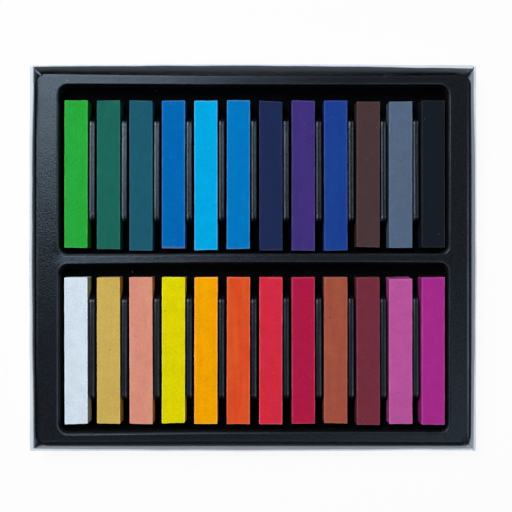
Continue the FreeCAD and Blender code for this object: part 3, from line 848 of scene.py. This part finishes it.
def make_wall(side, mesh_points, mesh_faces, raw):
    """One wall: the board rises, rolls over the rim and comes down inside to its raw edge."""
    height = TRAY_HIGH[2]
    half_x, half_y = TRAY_HIGH[:2]
    rim, ply, bows, swellings = WALLS[side]
    through = side in ("left", "right")  # these run the whole depth, and the others butt on them
    outer_foot, inner_foot = (FOLD + WALL_MARGIN, 0), (ply + PLY_REACH, BOARD + TUCK)
    corners = [outer_foot, (0, 0), (0, height), (rim, height), (ply, INSERT_TOP), inner_foot]
    radii = (FOLD, RIM_ROUND * rim, RIM_ROUND * rim, PLY_BEND)
    path = rounded_profile(corners, radii, arc_steps=7, straight_steps=5)
    along = np.gradient(path, axis=0)
    along /= np.linalg.norm(along, axis=1, keepdims=True)
    back = path + np.stack([along[:, 1], -along[:, 0]], axis=1) * PLY
    section = np.concatenate([path, back[::-1]])
    count, steps = len(section), len(path)

    reach = half_y if through else half_x
    outer_end = reach if through else reach - BOARD
    rim_end = reach if through else reach - WALL - RIM_SEAM
    rolled = ease(section[:, 1], height - rim, height - rim / 2)
    inner = section[:, 0] > rim / 2
    moved_in = ease(section[:, 0], HINGE[0] * rim, HINGE[1] * rim)
    ends = np.where(inner, rim_end, outer_end + (rim_end - outer_end) * rolled)
    first = len(mesh_points)
    for station in np.linspace(-1, 1, WALL_STATIONS + 1):
        run = station * ends
        bow = smooth_line(run, bows) * np.clip(section[:, 1] / height, 0, 1) ** BOW_RISE
        here = np.stack([run, section[:, 0], section[:, 1]], axis=1)
        ripple = sum(depth * waves(here, length, seed) for depth, length, seed in RIPPLES)
        ripple = np.clip(ripple + RIPPLE_LEVEL, 0, None)
        inward = section[:, 0] + bow + ripple * section[:, 1] / height
        inward += moved_in * smooth_line(run, swellings)
        end_fall = RIM_END_FALL * np.exp(-(reach - np.abs(run)) / RIM_END_WIDTH) * rolled
        dip = RIM_DIP * rolled * (1 + waves(here, DIP_LENGTH, DIP_SEED))
        level = section[:, 1] - end_fall - dip
        x, y = {
            "left": (inward - half_x, run), "right": (half_x - inward, run),
            "front": (run, inward - half_y), "back": (run, half_y - inward),
        }[side]
        mesh_points.extend(zip(x, y, level))
    flip = side in ("left", "back")

    def face(corners, value):
        mesh_faces.append(corners[::-1] if flip else corners)
        raw.append(value)

    for station in range(WALL_STATIONS):
        start = first + station * count
        ahead = start + count
        for k in range(count):
            after = (k + 1) % count
            is_raw = k == steps - 1
            face((start + k, start + after, ahead + after, ahead + k), float(is_raw))
    for start, turned in ((first, True), (first + WALL_STATIONS * count, False)):
        for k in range(steps - 1):
            cap = (start + k, start + k + 1, start + count - 2 - k, start + count - 1 - k)
            face(cap[::-1] if turned else cap, 1.0)


def add_slab(mesh_points, mesh_faces, raw, corners, low, high, value=0.0):
    """A flat board with these corners, anticlockwise, between two heights.

    Either height is one number, or one for each corner.
    """
    count, first = len(corners), len(mesh_points)
    lows, highs = np.broadcast_to(low, count), np.broadcast_to(high, count)
    mesh_points.extend((x, y, z) for (x, y), z in zip(corners, lows))
    mesh_points.extend((x, y, z) for (x, y), z in zip(corners, highs))
    bottom, top = list(range(first, first + count)), list(range(first + count, first + 2 * count))
    mesh_faces.append(tuple(bottom[::-1]))
    mesh_faces.append(tuple(top))
    raw.extend([value, value])
    for k in range(count):
        after = (k + 1) % count
        mesh_faces.append((bottom[k], bottom[after], top[after], top[k]))
        raw.append(1.0)


def make_tray():
    """The tray: four walls folded over at their rims, a base, glued flaps and a sprung corner."""
    points, faces, raw = [], [], []
    for side in ("left", "right", "front", "back"):
        make_wall(side, points, faces, raw)
    half_x, half_y = TRAY_HIGH[:2]

    base_x, base_y = half_x - FOLD - WALL_MARGIN, half_y - FOLD - WALL_MARGIN
    base = [(-base_x, -base_y), (base_x, -base_y), (base_x, base_y), (-base_x, base_y)]
    add_slab(points, faces, raw, base, 0, BOARD)

    # A glued flap at each end of both side walls, between their plies.
    for side in (-1, 1):
        for end in (-1, 1):
            xs = sorted(side * (half_x - PLY - FLAP_GAP - shift) for shift in (0, PLY))
            ys = sorted(end * (half_y - PLY - shift) for shift in (0, FLAP_LENGTH))
            flap = [(xs[0], ys[0]), (xs[1], ys[0]), (xs[1], ys[1]), (xs[0], ys[1])]
            add_slab(points, faces, raw, flap, BOARD, TRAY_HIGH[2] - WALL)

    # At the far left corner the board's raw end has sprung out across the corner.
    outer, inner = np.array(WEB_ENDS)
    across = (inner - outer) / np.linalg.norm(inner - outer) @ np.array([[0, 1], [-1, 0]]) * BOARD
    web = [outer + across, inner + across, inner - across, outer - across]
    heads = [TRAY_HIGH[2] - WEB_HEAD - fall for fall in WEB_FALLS]
    add_slab(points, faces, raw, web[::-1], INSERT_TOP + WEB_FOOT, heads[::-1])

    piece = make_piece("folded_tray", points, faces, paperboard(), face_values={"raw": raw})
    piece.data.set_sharp_from_angle(angle=math.radians(40))
    stands_for(piece, "carton")


# ---------------------------------------------------------------- floor, lights and camera

FLOOR_SIZE = 8.0
FLOOR_GAP = 0.0002
FLOOR_GREY = (0.8, 0.8, 0.8, 1.0)
FLOOR_WHITE = 0.92  # the share of the floor's look that is plain white, and not lit or shadowed

# Each lamp's place in metres, its sides in metres, the share of a full white exposure that it gives
# a level surface at the origin, and its colour.
LAMPS = {
    "key": ((-0.38, 0.43, 1.19), (0.5, 0.56), 0.89, (0.98, 0.99, 1.0)),
    "fill": ((0.4, -0.44, 1.2), (0.5, 0.5), 0.1, (0.9, 0.95, 1.0)),
}
WORLD_COLOUR = (0.8, 0.9, 1.0, 1.0)
WORLD_LEVEL = 0.04

IMAGE_PIXELS = 512
FOCAL_PIXELS = 956.0
SENSOR = 36.0
CAMERA_PLACE = Vector((0.0013, 0.0011, 0.429))


def add_seen(tree):
    """1 for the rays by which a camera, a gloss or something clear sees, and 0 for the rest."""
    rays = tree.nodes.new("ShaderNodeLightPath").outputs
    seen = rays["Is Camera Ray"]
    for kind in ("Is Glossy Ray", "Is Transmission Ray"):
        either = tree.nodes.new("ShaderNodeMath")
        either.operation = "MAXIMUM"
        tree.links.new(seen, either.inputs[0])
        tree.links.new(rays[kind], either.inputs[1])
        seen = either.outputs[0]
    return seen


def make_floor():
    """A pale floor that looks nearly white, with the object's faint shadow on it."""
    mesh = bpy.data.meshes.new("floor")
    edge = FLOOR_SIZE / 2
    corners = [(-edge, -edge, 0), (edge, -edge, 0), (edge, edge, 0), (-edge, edge, 0)]
    mesh.from_pydata(corners, [], [(0, 1, 2, 3)])
    floor = bpy.data.objects.new("floor", mesh)
    floor.location.z = -FLOOR_GAP
    bpy.context.scene.collection.objects.link(floor)

    make = Shading("floor")
    make.finish(Base_Color=FLOOR_GREY, Roughness=0.9, Specular_IOR_Level=0.1)
    white = make.add("ShaderNodeEmission", {"Color": WHITE, "Strength": 1.0})
    share = make.maths("MULTIPLY", add_seen(make.tree), FLOOR_WHITE)
    surfaces = {0: share, 1: make.shader.outputs[0], 2: white.outputs[0]}
    blend = make.add("ShaderNodeMixShader", surfaces)
    make.tree.links.new(blend.outputs[0], make.output.inputs["Surface"])
    mesh.materials.append(make.material)


def make_lamps():
    """Two large soft lamps over the object, each as bright as its share of a full exposure asks."""
    for name, (place, sides, share, colour) in LAMPS.items():
        data = bpy.data.lights.new(name, "AREA")
        data.shape = "RECTANGLE"
        data.size, data.size_y = sides
        place = Vector(place)
        level = place.z / place.length
        data.energy = share * math.pi ** 2 * place.length_squared / level
        data.color = colour
        lamp = bpy.data.objects.new(name, data)
        lamp.location = place
        lamp.rotation_euler = place.to_track_quat("Z", "Y").to_euler()
        bpy.context.scene.collection.objects.link(lamp)


def make_world():
    """A faint cool light from all round, in a room that a camera or a reflection sees as white."""
    world = bpy.data.worlds.new("studio")
    world.use_nodes = True
    tree = world.node_tree
    light = tree.nodes["Background"]
    light.inputs["Color"].default_value = WORLD_COLOUR
    light.inputs["Strength"].default_value = WORLD_LEVEL
    room = tree.nodes.new("ShaderNodeBackground")
    room.inputs["Color"].default_value = WHITE
    room.inputs["Strength"].default_value = 1.0
    blend = tree.nodes.new("ShaderNodeMixShader")
    tree.links.new(add_seen(tree), blend.inputs[0])
    tree.links.new(light.outputs[0], blend.inputs[1])
    tree.links.new(room.outputs[0], blend.inputs[2])
    tree.links.new(blend.outputs[0], tree.nodes["World Output"].inputs["Surface"])
    bpy.context.scene.world = world


def make_camera():
    """Straight above the tray, looking down, with +Y upwards in the picture."""
    data = bpy.data.cameras.new("camera")
    data.sensor_width = SENSOR
    data.lens = FOCAL_PIXELS / IMAGE_PIXELS * SENSOR
    data.clip_start, data.clip_end = 0.01, 20.0
    camera = bpy.data.objects.new("camera", data)
    camera.location = CAMERA_PLACE
    bpy.context.scene.collection.objects.link(camera)
    bpy.context.scene.camera = camera


make_camera()
make_tray()
make_insert()
sticks = sorted(name for name in frame["nodes"] if name.startswith("stick_"))
for number, node in enumerate(sticks):
    make_pastel(node.removeprefix("stick_"), 100 + 10 * number)
make_floor()
make_lamps()
make_world()
bpy.context.scene.view_settings.view_transform = "Standard"
